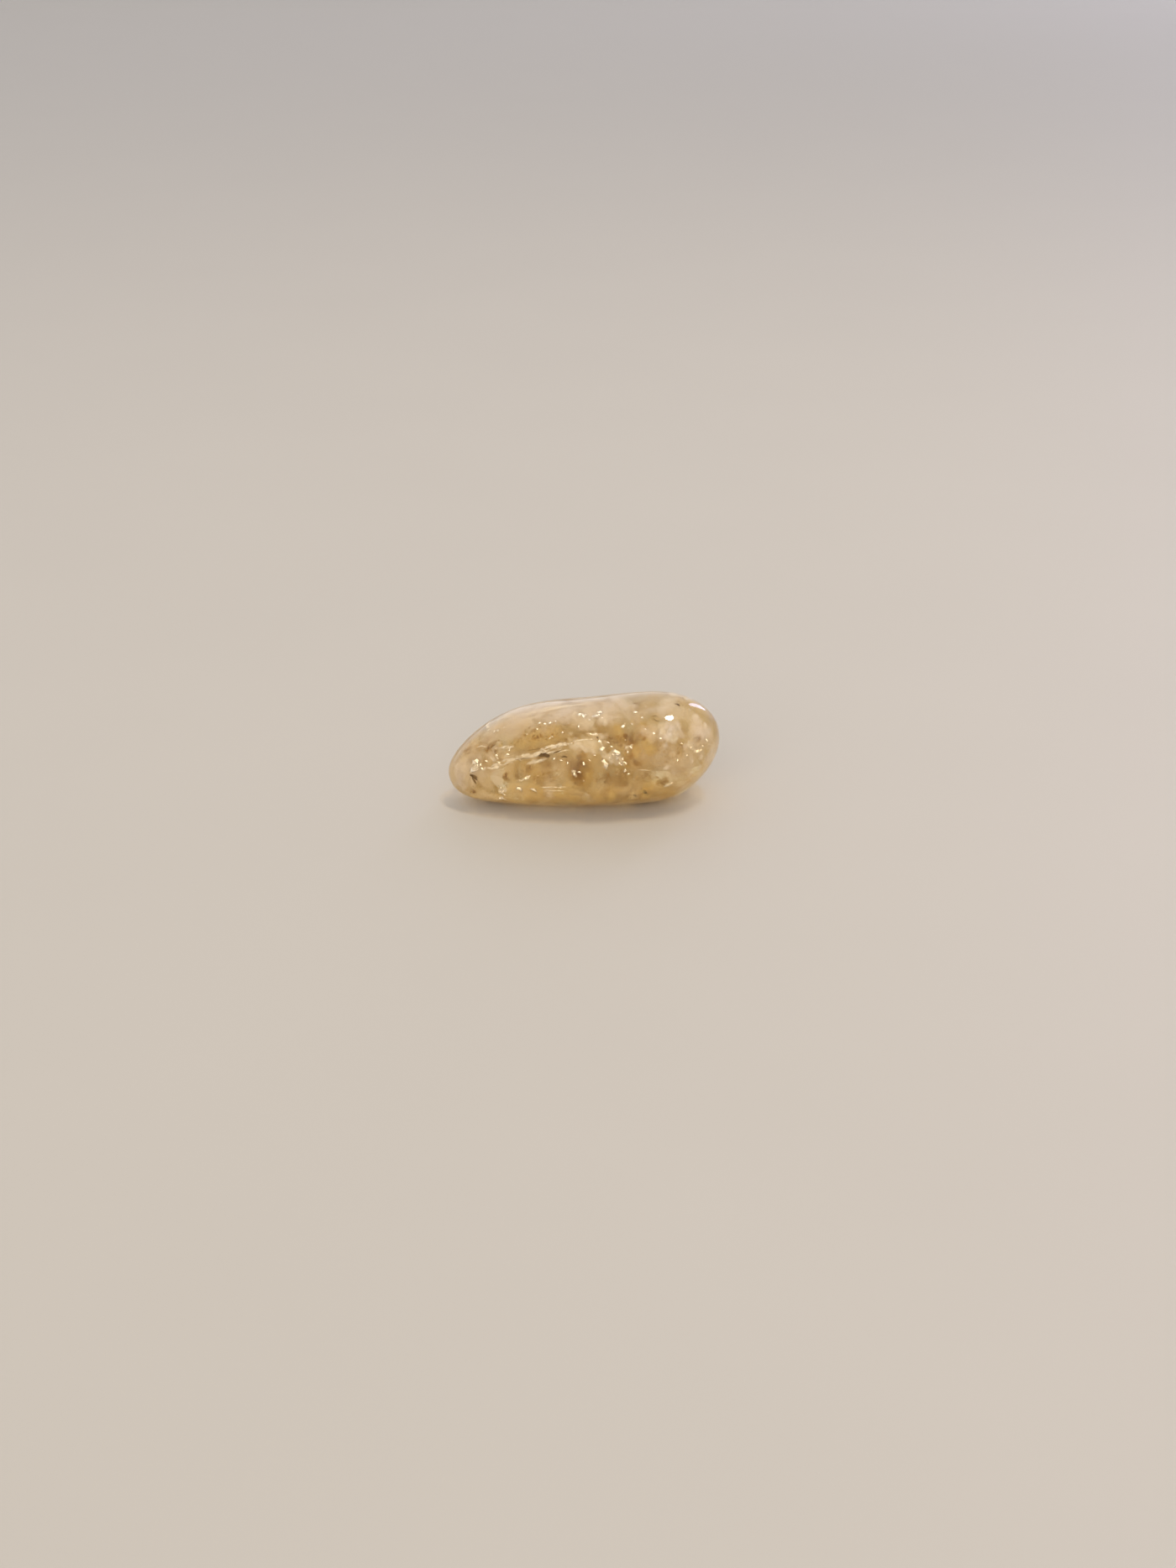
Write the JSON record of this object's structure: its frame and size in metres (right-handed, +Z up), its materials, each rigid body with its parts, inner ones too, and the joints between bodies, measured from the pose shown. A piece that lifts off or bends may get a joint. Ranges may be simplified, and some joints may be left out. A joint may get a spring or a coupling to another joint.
{
  "type": "tumbled citrine stone",
  "caption": "Polished pebble of clear honey-yellow quartz with milky veils and healed cracks, a narrow nose and a flat to rest on.",
  "frame": {"origin": "middle of the box's underside, on the surface that the stone rests on", "axes": "+X along the stone from its narrow nose to its round end, +Y away from its front, +Z up"},
  "size_m": [0.028, 0.0142, 0.0108],
  "materials": {
    "citrine": "polished"
  },
  "bodies": {
    "root": {"citrine_stone": "citrine"}
  },
  "joints": []
}
